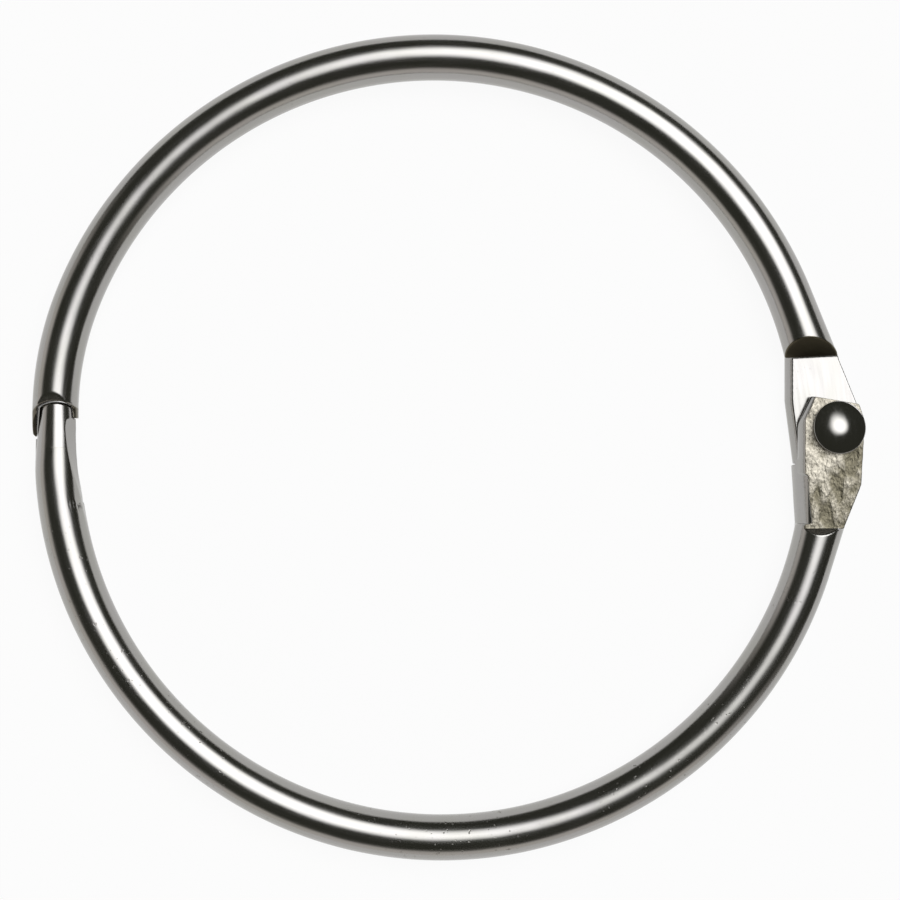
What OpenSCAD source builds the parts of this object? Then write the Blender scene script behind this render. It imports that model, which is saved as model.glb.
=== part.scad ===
// Loose-leaf binder ring: two half rings of round wire, joined by a domed
// rivet at one side and closed by a fork and tongue clasp at the other.
// The origin is the centre of the ring opening, on the wire's mid-plane.
// +X points to the hinge, +Z runs along the rivet.

/* [Ring] */
// Inside diameter of the closed ring
ring_id = 50.8; // [49:0.1:53]
// Diameter of the wire
wire_d = 3.2; // [3.1:0.05:3.3]
// How far each half's arc is moved along the hinge line: one in, one out
half_slip = 0.27; // [0.2:0.01:0.3]
// How far each half's arc is moved across the hinge line: one up, one down
half_rise = 0.45; // [0.4:0.01:0.5]

/* [Hinge] */
// Distance of the rivet's axis outside the wire's centre line
hinge_out = 1.05; // [0.95:0.05:1.15]
// Height of the rivet's axis above the ring's centre line
hinge_y = 1.4; // [1.3:0.05:1.5]
// Thickness of one pressed tab
tab_t = 1.1; // [1:0.05:1.2]
// Reach of the tongue half's pressed faces, from the rivet's axis
face_reach = 7.05; // [6.95:0.05:7.2]
// Reach of the fork half's seat, from the rivet's axis
fork_seat = 5.05; // [5:0.05:5.2]
// Reach of the tongue half's seat, from the rivet's axis
tongue_seat = 3.1; // [3.1:0.05:3.3]

/* [Rivet] */
// Diameter of the rivet's shank
shank_d = 2; // [1.8:0.1:2.2]
// Diameter of the domed head
head_d = 3.7; // [3.5:0.1:3.8]
// Height of the domed head
head_h = 0.9; // [0.8:0.05:1.1]
// Diameter of the clinched tail
tail_d = 3.2; // [3:0.1:3.4]
// Height of the clinched tail
tail_h = 0.45; // [0.35:0.05:0.45]

/* [Clasp] */
// Bend radius of the fork half's last stretch, before its jaws
fork_bend = 22; // [21:0.5:23]
// Height of the slot's floor above the ring's centre line
slot_floor = 3.27; // [3.1:0.01:3.4]
// Height of the long outer jaw's tip above the ring's centre line
outer_jaw = 0.65; // [0.5:0.05:0.8]
// Height of the short inner jaw's tip above the ring's centre line
inner_jaw = 2.05; // [1.85:0.05:2.25]
// Radius of the tapered tongue at the ring's centre line
tongue_r = 1.45; // [1.4:0.01:1.48]
// Radius of the tongue's rounded nose
nose_r = 2; // [1.8:0.05:2.2]

/* [Clearances] */
// Gap between the tabs, and between a tab and the rivet head above it
play = 0.04; // [0.02:0.01:0.06]
// Radial gap around the shank in the turning tab
shank_gap = 0.05; // [0.03:0.01:0.08]
// Gap around the tongue in the fork
clasp_gap = 0.06; // [0.05:0.01:0.08]

/* [Hidden] */
round_fn = 48;
wire_r = wire_d / 2;
bend_r = (ring_id + wire_d) / 2;
hinge = [bend_r + hinge_out, hinge_y];
seat_z = play / 2;               // height of a tab's mating face
face_z = seat_z + tab_t;         // height of a tab's outer face
fork_centre = [-half_slip, half_rise];
tongue_centre = [half_slip, -half_rise];
fork_straight = 22.2;            // where the fork half's arc turns straight
tongue_straight = -17.3;         // where the tongue half's arc turns straight
straight_l = 4.6;                // length of the straight stretches
fork_lean = 3;                   // which way the fork half's seat faces, off the Y axis
tongue_lean = -11;               // which way the tongue half's seat faces
fork_under = 6.2;                // reach of the pressing under the fork half's tab
bend_change = 158;               // where the fork half's bend tightens
tongue_x = tongue_centre[0] - bend_r - 0.03;
taper = 0.082;                   // what the tongue loses in radius for each mm
taper_y = -3.5;                  // where the taper has not yet met the wire
flat_x = -25.48;                 // the tongue's side at the inner jaw, at the centre line
flat_taper = 0.075;              // how far that side leans in for each mm
flat_end = inner_jaw - clasp_gap;
hollow = [-0.46, 1];             // centre of the hollowed side below the inner jaw
hollow_r = 25;                   // radius of that side at the centre line
hollow_slant = 17;               // slant of that side, off the Z axis
ledge_x = -27.6;                 // inner edge of the ledge below the outer jaw
ledge_h = 0.6;                   // height of that ledge, along Z
nose_y = slot_floor - clasp_gap - nose_r;
rim_h = 0.25;                    // height of the head's straight rim
bevel_l = 0.54;                  // length of the bevels at the slot's floor
bevel_h = 0.28;                  // depth of those bevels
far = 12;                        // reach of the cutting blocks

// Outlines of the pressed metal, one row a side: the way the side faces,
// its distance from the rivet's axis, and the most its edges are rounded by
fork_tab = [
    [180, 3.47, tab_t / 2], [187.5, 3.2, tab_t / 2], [282.75, 1.86, 0.3], [325, 2.1, 0.3],
    [0, 1.85, 0.3], [22.2, 2.1, 0.3], [93, 5.6, 0.3]];
tongue_tab = [
    [180, 2.75, tab_t / 2], [259, tongue_seat + 0.3, 0.15], [356.6, 1.8, 0.15],
    [19, 1.86, 0.15], [80.5, 1.85, 0.15], [155.9, 2.6, tab_t / 2]];
tongue_body = [
    [183.25, 3.16, far], [270, face_reach - 0.05, 0.15], [338, 3, 0.15],
    [356.6, 1.8, 0.15], [79, 0.35 - tongue_seat, 0.15]];

// Moves children from the rivet's own frame to the ring's frame
module at_hinge() {
    translate([hinge[0], hinge[1], 0]) children();
}

// A stretch of bent wire, from the +X axis round to the given angle
module wire_arc(radius, angle) {
    rotate_extrude(angle = angle, $fn = round_fn * 3)
        translate([radius, 0]) circle(wire_r, $fn = round_fn);
}

// A short straight stretch of wire, running down from the end of an arc
module straight_wire() {
    translate([bend_r, 0, 0]) rotate([90, 0, 0])
        cylinder(r = wire_r, h = straight_l, $fn = round_fn);
}

// The fork half's wire, from inside its tab to its end: a straight stretch,
// one long bend and a short tighter one
module fork_wire() {
    translate([fork_centre[0], fork_centre[1], 0]) {
        rotate([0, 0, fork_straight]) straight_wire();
        rotate([0, 0, bend_change]) {
            mirror([0, 1, 0]) wire_arc(bend_r, bend_change - fork_straight);
            translate([bend_r - fork_bend, 0, 0]) wire_arc(fork_bend, 27);
        }
    }
}

// The tongue half's wire: one long bend and a straight stretch
module tongue_wire() {
    translate([tongue_centre[0], tongue_centre[1], 0]) {
        rotate([0, 0, tongue_straight]) mirror([0, 1, 0]) straight_wire();
        rotate([0, 0, 170]) wire_arc(bend_r, 190 + tongue_straight);
    }
}

// A wide plate of thickness t with one rounded side, facing +X at x = 0
module side_plate(t, edge_r) {
    rotate([90, 0, 0]) linear_extrude(2 * far, center = true) {
        translate([-2 * far, -t / 2]) square([2 * far - edge_r, t]);
        if (edge_r < t / 2 - 0.01)
            translate([-far, edge_r - t / 2]) square([far, t - 2 * edge_r]);
        for (s = [-1, 1])
            translate([-edge_r, s * (t / 2 - edge_r)]) circle(edge_r, $fn = round_fn);
    }
}

// Flat pressed metal between heights z0 and z1, with the given outline
module pressed(outline, z0, z1) {
    at_hinge() translate([0, 0, (z0 + z1) / 2])
        intersection_for (side = outline)
            rotate([0, 0, side[0]]) translate([side[1], 0, 0])
                side_plate(z1 - z0, min(side[2], (z1 - z0) / 2));
}

// A block above height z that reaches a given distance from the rivet's
// axis, toward the wire, and ends in a slope
module press_block(lean, side, z, reach, slope) {
    at_hinge() rotate([0, 0, lean]) rotate([90, 0, 90])
        linear_extrude(2 * far, center = true)
            polygon([[-side * far, z], [side * reach, z],
                     [side * (reach + slope * 2), z + wire_d], [-side * far, z + wire_d]]);
}

// Half ring with the forked end; the rivet is clinched in its tab
module fork_half() {
    color([0.76, 0.75, 0.72]) difference() {
        union() {
            difference() {
                fork_wire();
                press_block(fork_lean, 1, -seat_z, fork_seat, 0.82);
                mirror([0, 0, 1]) press_block(fork_lean, 1, face_z, fork_under, 0.3);
            }
            pressed(fork_tab, -face_z, -seat_z);
        }
        at_hinge() cylinder(d = shank_d, h = far, center = true, $fn = round_fn);
        fork_slot();
        below_jaws();
    }
}

// The slot that takes the tongue, with bevels at its floor
module fork_slot() {
    intersection() {
        translate([0, 0, -far / 2]) linear_extrude(far)
            polygon([[tongue_x - tongue_r - clasp_gap - taper * far, -far],
                     [tongue_x - tongue_r - clasp_gap + taper * far, far],
                     [flat_x + clasp_gap - flat_taper * far, far],
                     [flat_x + clasp_gap + flat_taper * far, -far]]);
        union() {
            translate([tongue_x, nose_y, 0])
                cylinder(r = nose_r + clasp_gap, h = far, center = true, $fn = round_fn * 2);
            translate([tongue_x - far / 2, nose_y - far, -far / 2]) cube(far);
        }
    }
    for (s = [0, 1]) mirror([0, 0, s])
        translate([tongue_x, slot_floor - 0.02, wire_r - bevel_h]) rotate([90, 0, 90])
            linear_extrude(2 * far, center = true)
                polygon([[0, 0], [bevel_l, bevel_h], [bevel_l, 1], [0, 1]]);
}

// What is cut away below the jaws: the outer one ends in a point
module below_jaws() {
    translate([tongue_x, 0, -far / 2]) linear_extrude(far)
        polygon([[-far, outer_jaw + far - tongue_r], [-tongue_r, outer_jaw], [0, outer_jaw],
                 [0, inner_jaw], [far, inner_jaw], [far, -far], [-far, -far]]);
}

// Half ring with the tongue; its tab turns on the rivet
module tongue_half() {
    color([0.72, 0.71, 0.67]) difference() {
        union() {
            difference() {
                union() {
                    tongue_wire();
                    pressed(tongue_body, -face_z, face_z);
                }
                press_block(0, -1, face_z, face_reach, 1);
                mirror([0, 0, 1]) press_block(0, -1, face_z, face_reach, 1);
                mirror([0, 0, 1]) press_block(tongue_lean, -1, -seat_z, tongue_seat, 0.1);
                around_tongue();
            }
            pressed(tongue_tab, seat_z, face_z);
        }
        at_hinge() cylinder(r = shank_d / 2 + shank_gap, h = far, center = true,
                            $fn = round_fn);
    }
}

// What is cut from the tongue half's end, to leave the tapered tongue with
// its round nose, a ledge below the outer jaw and a step below the inner one
module around_tongue() {
    difference() {
        translate([tongue_x - far / 2, taper_y, -far / 2]) cube(far);
        translate([tongue_x, taper_y - 1, 0]) rotate([-90, 0, 0])
            cylinder(r1 = tongue_r - taper * (taper_y - 1),
                     r2 = tongue_r - taper * (taper_y - 1 + far), h = far, $fn = round_fn);
        translate([ledge_x - far, outer_jaw - clasp_gap - far, -ledge_h / 2])
            cube([far, far, ledge_h]);
    }
    translate([0, 0, -far / 2]) linear_extrude(far)
        polygon([[flat_x - flat_taper * flat_end, flat_end], [flat_x - flat_taper * far, far],
                 [-far, far], [-far, flat_end]]);
    for (s = [0, 1]) mirror([0, 0, s]) intersection() {
        translate([hollow[0], hollow[1], 0])
            cylinder(r1 = hollow_r, r2 = hollow_r + 2 * tan(hollow_slant), h = 2,
                     $fn = round_fn * 3);
        translate([-2.5 * far, flat_end + 0.3 - far, 0]) cube([far, far, 2]);
    }
    difference() {
        translate([tongue_x - far / 2, nose_y + 0.5, -far / 2]) cube(far);
        translate([tongue_x, nose_y, 0]) sphere(nose_r, $fn = round_fn);
    }
}

// A dome standing on z = 0
module dome(diameter, height) {
    ball_r = (pow(diameter / 2, 2) + height * height) / (2 * height);
    intersection() {
        translate([0, 0, height - ball_r]) sphere(ball_r, $fn = round_fn);
        cylinder(r = diameter, h = height + 1, $fn = round_fn);
    }
}

// Domed head above the tongue half's tab, shank, and low clinched tail
module hinge_rivet() {
    top_z = face_z + play;
    color([0.6, 0.59, 0.56]) at_hinge() {
        translate([0, 0, -face_z])
            cylinder(d = shank_d, h = face_z + top_z, $fn = round_fn);
        translate([0, 0, top_z]) cylinder(d = head_d, h = rim_h, $fn = round_fn);
        translate([0, 0, top_z + rim_h]) dome(head_d, head_h - rim_h);
        translate([0, 0, -face_z]) mirror([0, 0, 1]) dome(tail_d, tail_h);
    }
}

fork_half();
tongue_half();
hinge_rivet();
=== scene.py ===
"""Looks of a binder ring (two nickel-plated half rings and a rivet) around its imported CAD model."""
import math

import bpy
import numpy as np
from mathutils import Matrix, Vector


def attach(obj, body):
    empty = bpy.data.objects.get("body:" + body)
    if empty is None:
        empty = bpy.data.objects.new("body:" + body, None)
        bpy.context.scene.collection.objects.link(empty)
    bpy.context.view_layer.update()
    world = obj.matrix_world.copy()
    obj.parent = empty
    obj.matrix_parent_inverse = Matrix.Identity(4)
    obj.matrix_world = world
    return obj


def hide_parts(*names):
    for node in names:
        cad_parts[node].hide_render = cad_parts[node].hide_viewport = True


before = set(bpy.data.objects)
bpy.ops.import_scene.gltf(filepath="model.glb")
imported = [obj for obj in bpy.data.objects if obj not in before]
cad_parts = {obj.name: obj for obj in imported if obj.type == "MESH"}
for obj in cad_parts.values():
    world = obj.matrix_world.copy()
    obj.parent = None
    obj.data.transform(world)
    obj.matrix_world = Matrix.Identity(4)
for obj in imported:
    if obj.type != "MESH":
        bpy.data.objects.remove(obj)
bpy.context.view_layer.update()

# Lengths are in millimetres and angles in degrees. Each block has the sizes of
# the part's source first, and then those of the worn and rounded forms that
# only the looks have.
MM = 0.001

# Wire: each half is bent about its own centre
WIRE_R = 1.6
BEND_R = 27.0
FORK_CENTRE = (-0.27, 0.45)
TONGUE_CENTRE = (0.27, -0.45)

# Hinge: the fork half's tab lies below z = 0 and the tongue half's above it
HINGE = (28.05, 1.4)
PLAY = 0.04
SEAT_Z = PLAY / 2
FACE_Z = 1.12
FACE_REACH = 7.05
FACE_SLOPE = 1.0
FORK_SEAT = 5.05
FORK_SEAT_SLOPE = 0.82
FORK_LEAN = 3.0
FORK_UNDER = 6.2
FORK_UNDER_SLOPE = 0.3
FORK_STRAIGHT = 22.2
TONGUE_SEAT = 3.1
TONGUE_SEAT_SLOPE = 0.1
TONGUE_LEAN = -11.0
TONGUE_STRAIGHT = -17.3
# The line that each wire's inner side runs along as it widens, and where it goes over into its tab
FORK_INNER_X = 24.62
FORK_WIRE_END = 6.3
TONGUE_INNER_X = 25.15
TONGUE_WIRE_END = -5.35
# Heights between which a tab's metal is made before it is pressed
TAB_EDGE_Z = 1.4
FORK_TAB_TOP = 0.3
# Height of a bulge's middle below the upper face, as a share of its radius
BULGE_DROP = 0.74
# Slanted side of the pressed face: a point on it, the way it faces, and its slant
FACE_SIDE = (25.94, -3.0)
FACE_SIDE_FACING = 187
FACE_SIDE_SLANT = 24

# Clasp: a slot between two jaws, and a tongue with a round nose
FORK_BEND = 22.0
BEND_CHANGE = 158.0
TONGUE_X = -26.76
TONGUE_R = 1.45
TONGUE_TAPER = 0.082
TAPER_END = -4.0
FLAT_X = -25.48
FLAT_TAPER = 0.075
HOLLOW = (-0.46, 1.0)
HOLLOW_R = 25.0
NOSE_R = 2.0
SLOT_FLOOR = 3.27
BEVEL_L = 0.54
BEVEL_H = 0.28
CLASP_GAP = 0.06
NOSE_Y = SLOT_FLOOR - CLASP_GAP - NOSE_R
OUTER_JAW = 0.65
INNER_JAW = 2.05
FLAT_END = INNER_JAW - CLASP_GAP
LEDGE_X = -27.6
LEDGE_Z = 0.3
LEDGE_DEPTH = 0.06
JAW_TIP_SLOPE = 1.1
# Pinched jaws: a point on each slanted top (x and height), their slope and its
# cosine, and the stretch of y in which they run out upwards
PINCH_OUTER = (-28.5, 0.55)
PINCH_INNER = (-25.45, 0.5)
PINCH_SLOPE = 0.65
PINCH_COSINE = 0.84
PINCH_RUN_OUT = (2.6, 4.0)
PINCH_RISE = 1.2
BEVEL_SHIFT = 0.02
BEVEL_COSINE = 0.89
# The hollowed side of the tongue leans more and more from here upwards
LEAN_FROM = -3.6
LEAN_LENGTH = 5
LEAN_SLOPE = 0.1
NOSE_FLATNESS = 0.6

# Rivet: its head is a leaning worn dome
SHANK_R = 1.0
SHANK_GAP = 0.05
HEAD_R = 1.85
HEAD_H = 0.9
HEAD_Z = FACE_Z + PLAY
TAIL_R = 1.6
TAIL_H = 0.45
HEAD_TILT = 9.0
HEAD_FACING = 50
DOME_H = 0.63
CROWN = 0.55
FLANK = 0.52
RIM_ROUND = 0.02

# Spacing of the grids: angles at the hinge, along the plain wire and at the
# clasp, and lengths across the wire
HINGE_STEP = 0.14
WIRE_STEP = 0.9
CLASP_STEP = 0.13
CELL = 0.065

# Outlines of the pressed metal, one row a side: the way it faces, its distance
# from the rivet's axis, and the radius of its bulge, or 0 where it is flat
FORK_TAB = [
    (180, 3.47, 1.2), (187.5, 3.2, 1.2), (282.75, 1.86, 0),
    (325, 2.1, 0), (0, 1.85, 0), (22.2, 2.0, 0), (93, 5.6, 0)]
TONGUE_TAB = [
    (180, 2.75, 1.2), (259, TONGUE_SEAT + 0.6, 0), (356.6, 1.78, 0),
    (19, 1.86, 0), (80.5, 1.85, 0), (155.9, 2.62, 0.8)]
TONGUE_BODY = [
    (183.25, 3.18, 2.5), (270, FACE_REACH + 0.05, 0), (338, 2.95, 0),
    (356.6, 1.78, 0), (79, 0.4 - TONGUE_SEAT, 0)]

# Metal: colours, depths of the relief, roughness, and how x - PALE_LEAN * y
# grows where the coined faces turn from pale to dark. A place belongs to the
# hinge where its x is beyond AT_HINGE.
PLATE_COLOURS = ((0.362, 0.353, 0.342, 1), (0.353, 0.347, 0.326, 1))
PIT_COLOUR = (0.12, 0.11, 0.09, 1)
# Painted shade: the dark colour put on the slope above the fork's seat and on the rim round its slot
PAINTED_SHADE_COLOUR = (0.11, 0.098, 0.066, 1)
COINED_COLOURS = ((0.16, 0.146, 0.104, 1), (0.46, 0.43, 0.36, 1))
LINE_DEPTH = 0.0015
PIT_DEPTH = 0.006
DENT_DEPTH = 0.23
ROUGHNESS = (0.165, 0.235)
PIT_ROUGHNESS = 0.22
# Painted shade: roughness added where that dark colour is painted
PAINTED_SHADE_ROUGHNESS = 0.12
COINED_ROUGHNESS = (0.16, 0.3)
PALE_LEAN = 0.8
PALE_EDGE = (27.4, 30.2)
AT_HINGE = 20.0

# Studio: a direction is degrees from straight up and degrees from +X. The
# softbox fades between two angles from its middle. The wall fades between two
# angles from straight up, and sideways between two cosines of the angle from
# its middle.
SOFTBOX = (26, 46)
SOFTBOX_EDGE = (35, 14)
SOFTBOX_COLOUR = (3.3, 3.3, 3.35, 1)
WALL = (90, 235)
WALL_SIDES = (-0.15, 0.35)
WALL_TOP = (58, 74)
WALL_COLOUR = (0.84, 0.8, 0.77, 1)
ROOM_COLOUR = (0.05, 0.051, 0.041, 1)
FLOOR_HALF = 3000.0
FLOOR_COLOUR = (0.9, 0.9, 0.9, 1)
FLOOR_SHARE = 0.93

# Camera: straight above the ring
VIEW_MIDDLE = (0.87, -0.18)
VIEW_WIDTH = 63.36
VIEW_DISTANCE = 140.0
SENSOR_W = 36


# ---- Shapes as fields: negative inside, in millimetres ----

WELL_INSIDE = -9


def both(a, b, k):
    """Where a and b overlap, with the edge between them rounded over about k millimetres."""
    h = np.clip(0.5 + 0.5 * (a - b) / k, 0, 1)
    return b + (a - b) * h + k * h * (1 - h)


def either(a, b, k):
    """a and b joined, with a fillet of about k."""
    return -both(-a, -b, k)


def less(a, b, k):
    """a with b cut away, with rounded edges."""
    return both(a, -b, k)


def ease(v, a, b):
    """0 before a, 1 after b, and smooth between them."""
    t = np.clip((v - a) / (b - a), 0, 1)
    return t * t * (3 - 2 * t)


def slab(z, low, high):
    return np.maximum(low - z, z - high)


def bent_wire(x, y, z, centre, radius):
    return np.hypot(np.hypot(x - centre[0], y - centre[1]) - radius, z) - WIRE_R


def flared_wire(x, y, z, centre, straight, inner_x):
    """Bent wire that widens towards the hinge.

    Its outer side runs straight on from the given angle, and its inner side
    runs along the line x = inner_x.
    """
    dx, dy = x - centre[0], y - centre[1]
    r, angle = np.hypot(dx, dy), np.arctan2(dy, dx)
    past = angle - math.radians(straight)
    past = np.where(dx > 0, np.minimum(past * math.copysign(1, straight), 0), 0)
    outer = (BEND_R + WIRE_R) / np.cos(past)
    inner = np.minimum(BEND_R - WIRE_R, (inner_x - centre[0]) * r / np.maximum(dx, 1e-3))
    inner = np.where(dx > 0, inner, BEND_R - WIRE_R)
    mid, half = (outer + inner) / 2, (outer - inner) / 2
    return (np.hypot((r - mid) / half, z / WIRE_R) - 1) * WIRE_R


def outline(x, y, z, rows, top, k):
    """The space within the sides of a pressed shape whose upper face is at height top."""
    out = None
    for facing, distance, bulge in rows:
        c, s = math.cos(math.radians(facing)), math.sin(math.radians(facing))
        side = (x - HINGE[0]) * c + (y - HINGE[1]) * s - distance
        if bulge:
            middle = top - BULGE_DROP * bulge
            side = np.hypot(np.maximum(side + bulge, 0), z - middle) - bulge
        out = side if out is None else both(out, side, k)
    return out


def press_block(x, y, z, lean, side, z0, reach, slope, k):
    """The space above height z0 that a press tool takes, up to its reach along the wire."""
    a = math.radians(lean)
    along = side * (-(x - HINGE[0]) * math.sin(a) + (y - HINGE[1]) * math.cos(a))
    end = ((along - reach) - (z - z0) * slope) / math.hypot(1, slope)
    return both(z0 - z, end, k)


def shank_hole(x, y, radius):
    return np.hypot(x - HINGE[0], y - HINGE[1]) - radius


def tongue_sides(x, y, gap):
    """The tongue's plan: a tapering outer side, a flat inner side and a round nose."""
    outer = (TONGUE_X - x) - (TONGUE_R - TONGUE_TAPER * y) - gap
    flat = x - (FLAT_X - FLAT_TAPER * y) - gap
    nose = np.hypot(x - TONGUE_X, y - NOSE_Y) - NOSE_R - gap
    nose = np.where(y > NOSE_Y, nose, WELL_INSIDE)
    return np.maximum(np.maximum(outer, flat), nose)


def jaw_top(x, z, point, slope):
    """Below the slanted top of a pinched jaw, through a point that gives its x and height."""
    return (np.abs(z) - point[1] - slope * (x - point[0])) * PINCH_COSINE


def fork_hinge_end(body, x, y, z):
    sides = outline(x, y, z, FORK_TAB, -SEAT_Z, 0.03)
    tab = both(sides, slab(z, -TAB_EDGE_Z, FORK_TAB_TOP), 0.03)
    seat = press_block(x, y, z, FORK_LEAN, 1, -SEAT_Z, FORK_SEAT, FORK_SEAT_SLOPE, 0.04)
    under = press_block(x, y, -z, FORK_LEAN, 1, FACE_Z, FORK_UNDER, FORK_UNDER_SLOPE, 0.1)
    body = either(both(body, FORK_WIRE_END - y, 0.06), tab, 0.06)
    body = less(less(body, seat, 0.012), under, 0.06)
    return less(body, shank_hole(x, y, SHANK_R), 0.05)


def fork_clasp_end(body, x, y, z):
    tip = y - OUTER_JAW - JAW_TIP_SLOPE * np.maximum(TONGUE_X - TONGUE_R - x, 0)
    below = np.where(x < TONGUE_X, tip, y - INNER_JAW)
    gone = np.minimum(tongue_sides(x, y, CLASP_GAP), below)
    pinched = np.where(x < TONGUE_X,
                       jaw_top(x, z, PINCH_OUTER, PINCH_SLOPE),
                       jaw_top(x, z, PINCH_INNER, -PINCH_SLOPE))
    pinched = pinched - PINCH_RISE * ease(y, *PINCH_RUN_OUT)
    rise = (y - SLOT_FLOOR + BEVEL_SHIFT) * BEVEL_H / BEVEL_L
    bevel = (np.abs(z) - (WIRE_R - BEVEL_H) - rise) * BEVEL_COSINE
    cut = both(both(body, pinched, 0.1), bevel, 0.06)
    return less(np.where(y < PINCH_RUN_OUT[1], cut, body), gone, 0.02)


def fork_field(x, y, z):
    turn = math.radians(BEND_CHANGE)
    shift = BEND_R - FORK_BEND
    tight = (FORK_CENTRE[0] + shift * math.cos(turn), FORK_CENTRE[1] + shift * math.sin(turn))
    angle = np.degrees(np.arctan2(y - FORK_CENTRE[1], x - FORK_CENTRE[0])) % 360
    body = np.where((angle > BEND_CHANGE) & (angle < 270),
                    bent_wire(x, y, z, tight, FORK_BEND),
                    flared_wire(x, y, z, FORK_CENTRE, FORK_STRAIGHT, FORK_INNER_X))
    return np.where(x > 0, fork_hinge_end(body, x, y, z), fork_clasp_end(body, x, y, z))


def face_side(x, y, z):
    """The slanted side of the pressed face, where it narrows toward the wire."""
    turn, slant = math.radians(FACE_SIDE_FACING), math.radians(FACE_SIDE_SLANT)
    out = (x - FACE_SIDE[0]) * math.cos(turn) + (y - FACE_SIDE[1]) * math.sin(turn)
    return out * math.sin(slant) + (z - FACE_Z) * math.cos(slant)


def tongue_hinge_end(body, x, y, z):
    sides = outline(x, y, z, TONGUE_BODY, FACE_Z, 0.1)
    plate = both(sides, slab(z, -TAB_EDGE_Z, TAB_EDGE_Z), 0.06)
    for up in (z, -z):
        plate = both(plate, face_side(x, y, up), 0.06)
    body = either(both(body, y - TONGUE_WIRE_END, 0.2), plate, 0.15)
    seat = press_block(x, y, -z, TONGUE_LEAN, -1, -SEAT_Z, TONGUE_SEAT, TONGUE_SEAT_SLOPE, 0.02)
    body = less(body, seat, 0.02)
    sides = outline(x, y, z, TONGUE_TAB, FACE_Z, 0.1)
    body = either(body, both(sides, slab(z, SEAT_Z, TAB_EDGE_Z), 0.06), 0.06)
    for up in (z, -z):
        face = press_block(x, y, up, 0, -1, FACE_Z, FACE_REACH, FACE_SLOPE, 0.04)
        body = less(body, face, 0.012)
    return less(body, shank_hole(x, y, SHANK_R + SHANK_GAP), 0.05)


def tongue_clasp_end(body, x, y, z):
    cone = np.hypot(x - TONGUE_X, z) - (TONGUE_R - TONGUE_TAPER * y)
    cone = np.where(y > TAPER_END, cone, WELL_INSIDE)
    nose = np.sqrt((x - TONGUE_X) ** 2 + (y - NOSE_Y) ** 2 + (NOSE_FLATNESS * z) ** 2) - NOSE_R
    nose = np.where(y > NOSE_Y, nose, WELL_INSIDE)
    lean = LEAN_SLOPE * np.clip(y - LEAN_FROM, 0, LEAN_LENGTH) * np.abs(z)
    hollow = HOLLOW_R + lean - np.hypot(x - HOLLOW[0], y - HOLLOW[1])
    flat = x - (FLAT_X - FLAT_TAPER * y)
    pin = both(both(body, cone, 0.1), np.where(y > FLAT_END, flat, hollow), 0.04)
    pin = both(pin, nose, 0.08)
    ledge = np.maximum(x - LEDGE_X, y - OUTER_JAW + CLASP_GAP)
    ledge = np.maximum(body + LEDGE_DEPTH, ledge)
    ledge = both(ledge, np.abs(z) - LEDGE_Z, 0.1)
    return either(pin, ledge, 0.05)


def tongue_field(x, y, z):
    body = flared_wire(x, y, z, TONGUE_CENTRE, TONGUE_STRAIGHT, TONGUE_INNER_X)
    return np.where(x > 0, tongue_hinge_end(body, x, y, z), tongue_clasp_end(body, x, y, z))


# ---- Meshes ----

def steps(stops):
    """Grid lines: each stop is (start, spacing), and the last is (end, 0)."""
    out = []
    for (a, spacing), (b, _) in zip(stops, stops[1:]):
        n = max(1, round((b - a) / spacing))
        out.extend(a + (b - a) * i / n for i in range(n))
    return np.array(out + [stops[-1][0]])


def skin(name, field, centre, angles, radii, heights):
    """A closed mesh of quads on the surface where the field is zero.

    The grid is polar about centre. Each of its cells that the surface crosses
    gets one point, and each of its lines that the surface crosses one quad.
    """
    a, r, h = np.meshgrid(np.radians(angles), radii, heights, indexing="ij")
    v = field(centre[0] + r * np.cos(a), centre[1] + r * np.sin(a), h)
    cells = tuple(n - 1 for n in v.shape)
    total = np.zeros(cells + (3,))
    count = np.zeros(cells)
    crossings = []
    for axis in range(3):
        low = [slice(None)] * 3
        high = [slice(None)] * 3
        low[axis], high[axis] = slice(0, -1), slice(1, None)
        v0, v1 = v[tuple(low)], v[tuple(high)]
        cross = (v0 < 0) != (v1 < 0)
        at = np.where(cross, v0 / np.where(cross, v0 - v1, 1), 0)
        others = [q for q in range(3) if q != axis]
        crossings.append((axis, others, cross, v0 < 0))
        index = np.meshgrid(*[np.arange(n) for n in cross.shape], indexing="ij")
        spot = [q.astype(float) for q in index]
        spot[axis] = spot[axis] + at
        for p in (0, 1):
            for q in (0, 1):
                cut = [slice(None)] * 3
                cut[others[0]] = slice(p, cross.shape[others[0]] - 1 + p)
                cut[others[1]] = slice(q, cross.shape[others[1]] - 1 + q)
                part = cross[tuple(cut)]
                count += part
                for c in range(3):
                    total[..., c] += np.where(part, spot[c][tuple(cut)], 0)
    used = count > 0
    number = np.full(cells, -1)
    number[used] = np.arange(used.sum())
    mean = total[used] / count[used][:, None]
    a, r, h = (np.interp(q, range(len(grid)), grid)
               for q, grid in zip(mean.T, (angles, radii, heights)))
    a = np.radians(a)
    pts = np.stack((centre[0] + r * np.cos(a), centre[1] + r * np.sin(a), h), 1)
    pts = settle(field, pts)
    faces = []
    for axis, others, cross, starts_inside in crossings:
        i = np.argwhere(cross)
        keep = np.ones(len(i), bool)
        for o in others:
            keep &= (i[:, o] > 0) & (i[:, o] < cross.shape[o] - 1)
        i = i[keep]
        quad = []
        for p, q in ((1, 1), (0, 1), (0, 0), (1, 0)):
            cell = i.copy()
            cell[:, others[0]] -= p
            cell[:, others[1]] -= q
            quad.append(number[cell[:, 0], cell[:, 1], cell[:, 2]])
        quad = np.stack(quad, 1)
        flip = starts_inside[i[:, 0], i[:, 1], i[:, 2]] != (axis == 1)
        quad[flip] = quad[flip][:, ::-1]
        faces.append(quad)
    faces = outward(pts, np.concatenate(faces))
    return smooth_piece(name, (pts * MM).tolist(), faces.tolist())


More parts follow.
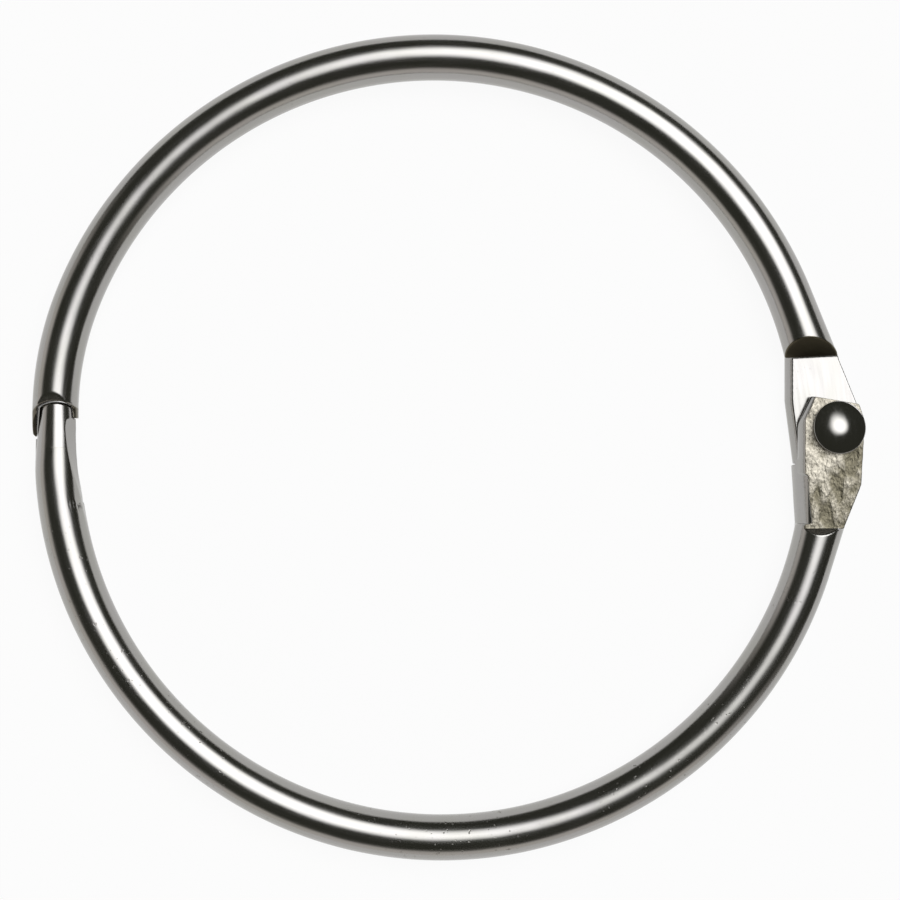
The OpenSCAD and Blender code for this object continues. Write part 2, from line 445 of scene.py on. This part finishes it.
def settle(field, pts, rounds=5, probe=1e-4, least=0.25, longest=0.05):
    """Moves points onto the surface where the field is zero.

    The field's slope squared counts as no less than least, and no point moves
    farther than longest in one round.
    """
    for _ in range(rounds):
        f = field(*pts.T)
        grad = np.stack([(field(*(pts + probe * e).T) - f) / probe for e in np.eye(3)], 1)
        size = np.maximum((grad ** 2).sum(1), least)
        move = -(f / size)[:, None] * grad
        length = np.linalg.norm(move, axis=1)
        pts = pts + move * np.minimum(1, longest / np.maximum(length, 1e-9))[:, None]
    return pts


def outward(pts, faces):
    """The quads, all turned round if they face into the shape."""
    a, b, c, d = (pts[faces[:, q]] for q in range(4))
    volume = (np.cross(b - a, c - a) * a).sum() + (np.cross(c - a, d - a) * a).sum()
    return faces[:, ::-1] if volume < 0 else faces


def add_mesh(name, pts, faces):
    mesh = bpy.data.meshes.new(name)
    mesh.from_pydata(pts, [], faces)
    obj = bpy.data.objects.new(name, mesh)
    bpy.context.scene.collection.objects.link(obj)
    return obj


def smooth_piece(name, pts, faces):
    obj = add_mesh(name, pts, faces)
    obj.data.shade_smooth()
    return obj


def lathe(name, profile, centre, facing, segments=96):
    """A closed turned piece about a vertical axis.

    The profile runs from its bottom to its top, and each of its rows is a
    radius, a height and the slope of the row's plane, down the way it faces.
    """
    pts, faces = [], []
    turn = math.radians(facing)
    for r, z, slope in profile:
        for s in range(segments):
            a = 2 * math.pi * s / segments
            pts.append((centre[0] + r * math.cos(a), centre[1] + r * math.sin(a),
                        z - slope * r * math.cos(a - turn)))
    for i in range(len(profile) - 1):
        for s in range(segments):
            t = (s + 1) % segments
            faces.append((i * segments + s, i * segments + t,
                          (i + 1) * segments + t, (i + 1) * segments + s))
    low, high = len(pts), len(pts) + 1
    pts += [(*centre, profile[0][1]), (*centre, profile[-1][1])]
    last = (len(profile) - 1) * segments
    faces += [((s + 1) % segments, s, low) for s in range(segments)]
    faces += [(last + s, last + (s + 1) % segments, high) for s in range(segments)]
    return smooth_piece(name, [Vector(p) * MM for p in pts], faces)


def tail_profile(rows=28):
    """Rows of the clinched tail, a spherical cap, from just above its lowest point to its edge."""
    ball = (TAIL_R ** 2 + TAIL_H ** 2) / (2 * TAIL_H)
    widest = math.asin(min(1, TAIL_R / ball))
    out = []
    for i in reversed(range(rows)):
        r = ball * math.sin(widest * (1 - i / rows))
        out.append((r, -FACE_Z - (math.sqrt(ball ** 2 - r ** 2) - ball + TAIL_H), 0))
    return out


def head_profile(rows=28):
    """Rows of the head: a short rim, then a leaning dome with flat flanks and a tight crown."""
    slope = math.tan(math.radians(HEAD_TILT))
    base = HEAD_Z + HEAD_H - DOME_H
    radius = HEAD_R - RIM_ROUND
    top = math.hypot(CROWN, FLANK * radius)
    out = [(HEAD_R - 0.1, HEAD_Z, 0), (radius, HEAD_Z + 0.03, 0), (HEAD_R, base - 0.04, slope)]
    for i in range(rows):
        r = radius * (1 - i / rows)
        out.append((r, base + top - math.hypot(CROWN, FLANK * r), slope))
    return out


def rivet_profile():
    shank = [(SHANK_R, -FACE_Z, 0), (SHANK_R, HEAD_Z, 0)]
    return tail_profile() + shank + head_profile()


# ---- Materials ----

class Nodes:
    """Short ways to build a node tree."""

    def __init__(self, tree):
        self.tree = tree

    def new(self, kind, operation=None):
        node = self.tree.nodes.new("ShaderNode" + kind)
        if operation:
            node.operation = operation
        return node

    def put(self, socket, value):
        if isinstance(value, bpy.types.NodeSocket):
            self.tree.links.new(value, socket)
        else:
            socket.default_value = value

    def math(self, operation, a, b=0.0):
        node = self.new("Math", operation)
        self.put(node.inputs[0], a)
        self.put(node.inputs[1], b)
        return node.outputs[0]

    def plus(self, a, b):
        return self.math("ADD", a, b)

    def minus(self, a, b):
        return self.math("SUBTRACT", a, b)

    def times(self, a, b):
        return self.math("MULTIPLY", a, b)

    def larger(self, a, b):
        return self.math("MAXIMUM", a, b)

    def length(self, a, b):
        return self.math("SQRT", self.plus(self.times(a, a), self.times(b, b)))

    def dot(self, place, vector):
        node = self.new("VectorMath", "DOT_PRODUCT")
        self.put(node.inputs[0], place)
        self.put(node.inputs[1], vector)
        return node.outputs["Value"]

    def ramp(self, value, a, b, to_a=0.0, to_b=1.0):
        """From to_a at a to to_b at b, smooth at both ends."""
        node = self.new("MapRange")
        node.interpolation_type = "SMOOTHSTEP"
        for socket, v in zip(("Value", "From Min", "From Max", "To Min", "To Max"),
                             (value, a, b, to_a, to_b)):
            self.put(node.inputs[socket], v)
        return node.outputs["Result"]

    def blend(self, share, low, high):
        node = self.new("Mix")
        node.data_type = "RGBA"
        self.put(node.inputs["Factor"], share)
        self.put(node.inputs[6], low)
        self.put(node.inputs[7], high)
        return node.outputs[2]


class Metal(Nodes):
    """The nodes of a metal, with the place on the object as x, y and z in millimetres."""

    def __init__(self, name):
        self.mat = bpy.data.materials.new(name)
        self.mat.use_nodes = True
        super().__init__(self.mat.node_tree)
        self.shader = self.tree.nodes["Principled BSDF"]
        scale = self.new("VectorMath", "SCALE")
        parts = self.new("SeparateXYZ")
        self.put(scale.inputs["Scale"], 1 / MM)
        self.put(scale.inputs[0], self.new("TexCoord").outputs["Object"])
        self.put(parts.inputs[0], scale.outputs[0])
        self.x, self.y, self.z = parts.outputs[:3]

    def noise(self, x, y, z, scale, detail=2.0, rough=0.5):
        """Noise at the given place, where each axis may be stretched beforehand."""
        at = self.new("CombineXYZ")
        for socket, v in zip(at.inputs, (x, y, z)):
            self.put(socket, v)
        node = self.new("TexNoise")
        self.put(node.inputs["Vector"], at.outputs[0])
        self.put(node.inputs["Scale"], scale)
        self.put(node.inputs["Detail"], detail)
        self.put(node.inputs["Roughness"], rough)
        return node.outputs[0]

    def bump(self, height, depth, before=None):
        node = self.new("Bump")
        self.put(node.inputs["Strength"], 1)
        self.put(node.inputs["Distance"], depth * MM)
        self.put(node.inputs["Height"], height)
        if before:
            self.put(node.inputs["Normal"], before)
        return node.outputs[0]


def painted_shade_mask(n):
    """Share of painted shade: 1 on the slope above the fork's seat, 0.8 round its slot, and 0
    elsewhere.
    """
    lean = math.radians(FORK_LEAN)
    along = n.minus(n.times(n.minus(n.y, HINGE[1]), math.cos(lean)),
                    n.times(n.minus(n.x, HINGE[0]), math.sin(lean)))
    off = n.minus(n.minus(along, FORK_SEAT), n.times(n.z, FORK_SEAT_SLOPE))
    slope = n.times(n.ramp(n.math("ABSOLUTE", off), 0.06, 0.14, 1.0, 0.0),
                    n.times(n.math("GREATER_THAN", n.x, AT_HINGE), n.ramp(n.z, 0.0, 0.06)))
    away = n.length(n.minus(n.x, TONGUE_X), n.minus(n.y, NOSE_Y))
    slot_r = NOSE_R + CLASP_GAP
    slot = n.times(n.ramp(away, slot_r + 0.02, slot_r + 0.12, 1.0, 0.0), 0.8)
    return n.larger(slope, slot)


def coined_faces(n):
    """1 on the pressed faces of the tongue half's tab, and 0 elsewhere."""
    on_tab = n.times(n.math("GREATER_THAN", n.x, AT_HINGE),
                     n.math("GREATER_THAN", n.y, HINGE[1] - FACE_REACH - 0.01))
    return n.times(n.ramp(n.math("ABSOLUTE", n.z), FACE_Z - 0.035, FACE_Z - 0.012), on_tab)


def nickel(name, wavy=0.02, dull=1.0, painted_shade=False, coined=False):
    """Nickel plate on drawn wire: faint draw lines, waviness, and sparse pits.

    The first flag paints shade at the fork half's two ends: the slope above its
    seat and the rim round its slot get a dark colour, and more roughness. With
    coined=True the pressed faces have a rough grainy skin with fine grain on it,
    and their colour is paler towards the inner upper side.
    """
    n = Metal(name)
    radius = n.length(n.x, n.y)
    along = n.times(n.math("ARCTAN2", n.y, n.x), BEND_R)
    lines = n.noise(n.times(along, 0.06), radius, n.z, 5.0, detail=3.0)
    waves = n.noise(n.times(along, 0.5), radius, n.z, 0.6, detail=1.0)
    specks = n.ramp(n.noise(n.x, n.y, n.z, 3.3, detail=1.0), 0.69, 0.74)
    worn = n.ramp(n.noise(n.x, n.y, n.z, 0.16, detail=0.0), 0.42, 0.62, 0.15, 1.0)
    worn = n.times(worn, n.ramp(n.y, -26.0, 2.0, 1.0, 0.15))
    pits = n.times(specks, worn)
    rough = n.ramp(lines, 0.25, 0.75, *(dull * v for v in ROUGHNESS))
    rough = n.plus(rough, n.times(pits, PIT_ROUGHNESS))
    colour = n.blend(n.ramp(waves, 0.3, 0.7), *PLATE_COLOURS)
    colour = n.blend(n.times(pits, 0.55), colour, PIT_COLOUR)
    normal = n.bump(waves, wavy)
    normal = n.bump(lines, LINE_DEPTH, normal)
    normal = n.bump(n.minus(1.0, pits), PIT_DEPTH, normal)
    # Painted shade: the slope above the fork's seat and the rim round its slot are darkened and made
    # rougher
    if painted_shade:
        cut = painted_shade_mask(n)
        colour = n.blend(cut, colour, PAINTED_SHADE_COLOUR)
        rough = n.plus(rough, n.times(cut, PAINTED_SHADE_ROUGHNESS))
    if coined:
        face = coined_faces(n)
        grain = n.noise(n.x, n.times(n.y, 0.55), n.z, 1.15, detail=3.0, rough=0.55)
        fine = n.noise(n.x, n.y, n.z, 7.0)
        pale = n.ramp(n.minus(n.x, n.times(n.y, PALE_LEAN)), *PALE_EDGE, 1.0, 0.0)
        tone = n.plus(n.times(grain, 1.15), n.times(pale, 0.3))
        colour = n.blend(face, colour, n.blend(n.ramp(tone, 0.53, 0.87), *COINED_COLOURS))
        rough = n.plus(rough, n.times(face, n.ramp(fine, 0.3, 0.7, *COINED_ROUGHNESS)))
        dents = n.times(face, n.plus(grain, n.times(fine, 0.05)))
        normal = n.bump(dents, DENT_DEPTH, normal)
    for socket, value in (("Base Color", colour), ("Roughness", rough), ("Normal", normal),
                          ("Metallic", 1), ("Specular Tint", (1, 1, 1, 1))):
        n.put(n.shader.inputs[socket], value)
    return n.mat


# ---- Pieces ----

# Each grid goes round its own half, with close lines at its hinge end and its clasp end
fork_angles = steps([(-4, HINGE_STEP), (21.5, WIRE_STEP), (166, CLASP_STEP), (180, 0)])
tongue_angles = steps([(171.5, CLASP_STEP), (182, WIRE_STEP), (336, HINGE_STEP), (370, 0)])
radii = steps([(23.2, CELL), (30.6, 0)])
heights = steps([(-1.75, CELL), (1.75, 0)])

fork = skin("fork_half_wire", fork_field, FORK_CENTRE, fork_angles, radii, heights)
tongue = skin("tongue_half_wire", tongue_field, TONGUE_CENTRE, tongue_angles, radii, heights)
rivet = lathe("domed_rivet", rivet_profile(), HINGE, HEAD_FACING)
# The fork half's plate has painted shade on the slope above its seat and round its slot
plate_painted_shade = nickel("nickel_plate_painted_shade", painted_shade=True)
plate_coined = nickel("nickel_plate_coined", coined=True)
plate_worn = nickel("nickel_plate_worn", wavy=0.05, dull=0.6)
for piece, mat, body, node, slot in (
        (fork, plate_painted_shade, "fork", "fork_half", "fork_wire"),
        (tongue, plate_coined, "tongue", "tongue_half", "tongue_wire"),
        (rivet, plate_worn, "fork", "hinge_rivet", "rivet")):
    piece.data.materials.append(mat)
    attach(piece, body)
    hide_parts(node)


# ---- Floor, light and camera ----

def floor():
    """White paper: the camera and the metal see it lit evenly, and it keeps the ring's shadow."""
    size, z = FLOOR_HALF * MM, -WIRE_R * MM
    corners = [(-size, -size, z), (size, -size, z), (size, size, z), (-size, size, z)]
    obj = add_mesh("floor", corners, [(0, 1, 2, 3)])
    mat = bpy.data.materials.new("floor_paper")
    mat.use_nodes = True
    mat.node_tree.nodes.clear()
    n = Nodes(mat.node_tree)
    out, mix = n.new("OutputMaterial"), n.new("MixShader")
    paper, glow = n.new("BsdfDiffuse"), n.new("Emission")
    n.put(paper.inputs["Color"], FLOOR_COLOUR)
    n.put(glow.inputs["Color"], (1, 1, 1, 1))
    n.put(glow.inputs["Strength"], 1)
    ray = n.new("LightPath").outputs
    seen = n.larger(ray["Is Camera Ray"], ray["Is Glossy Ray"])
    seen = n.larger(seen, ray["Is Transmission Ray"])
    n.put(mix.inputs[0], n.times(seen, FLOOR_SHARE))
    n.put(mix.inputs[1], paper.outputs[0])
    n.put(mix.inputs[2], glow.outputs[0])
    n.put(out.inputs[0], mix.outputs[0])
    obj.data.materials.append(mat)


def direction(zenith, azimuth):
    z, a = math.radians(zenith), math.radians(azimuth)
    return (math.sin(z) * math.cos(a), math.sin(z) * math.sin(a), math.cos(z))


def cosine(angle):
    return math.cos(math.radians(angle))


def studio():
    """A dark room with a large softbox to the upper right, and a pale wall to the lower left."""
    world = bpy.data.worlds.new("studio")
    bpy.context.scene.world = world
    world.use_nodes = True
    world.node_tree.nodes.clear()
    n = Nodes(world.node_tree)
    out, back = n.new("OutputWorld"), n.new("Background")
    toward = n.new("TexCoord").outputs["Generated"]
    key = n.ramp(n.dot(toward, direction(*SOFTBOX)), *map(cosine, SOFTBOX_EDGE))
    low = n.ramp(n.dot(toward, (0, 0, 1)), *map(cosine, WALL_TOP))
    side = n.ramp(n.dot(toward, direction(*WALL)), *WALL_SIDES)
    colour = n.blend(n.times(low, side), ROOM_COLOUR, WALL_COLOUR)
    n.put(back.inputs["Color"], n.blend(key, colour, SOFTBOX_COLOUR))
    n.put(out.inputs["Surface"], back.outputs[0])


def camera():
    cam = bpy.data.cameras.new("camera")
    cam.sensor_width = SENSOR_W
    cam.lens = SENSOR_W * VIEW_DISTANCE / VIEW_WIDTH
    cam.clip_start = 0.01
    cam.clip_end = 20
    obj = bpy.data.objects.new("camera", cam)
    obj.location = (VIEW_MIDDLE[0] * MM, VIEW_MIDDLE[1] * MM, VIEW_DISTANCE * MM)
    bpy.context.scene.collection.objects.link(obj)
    bpy.context.scene.camera = obj


floor()
studio()
camera()
bpy.context.scene.view_settings.view_transform = "Standard"
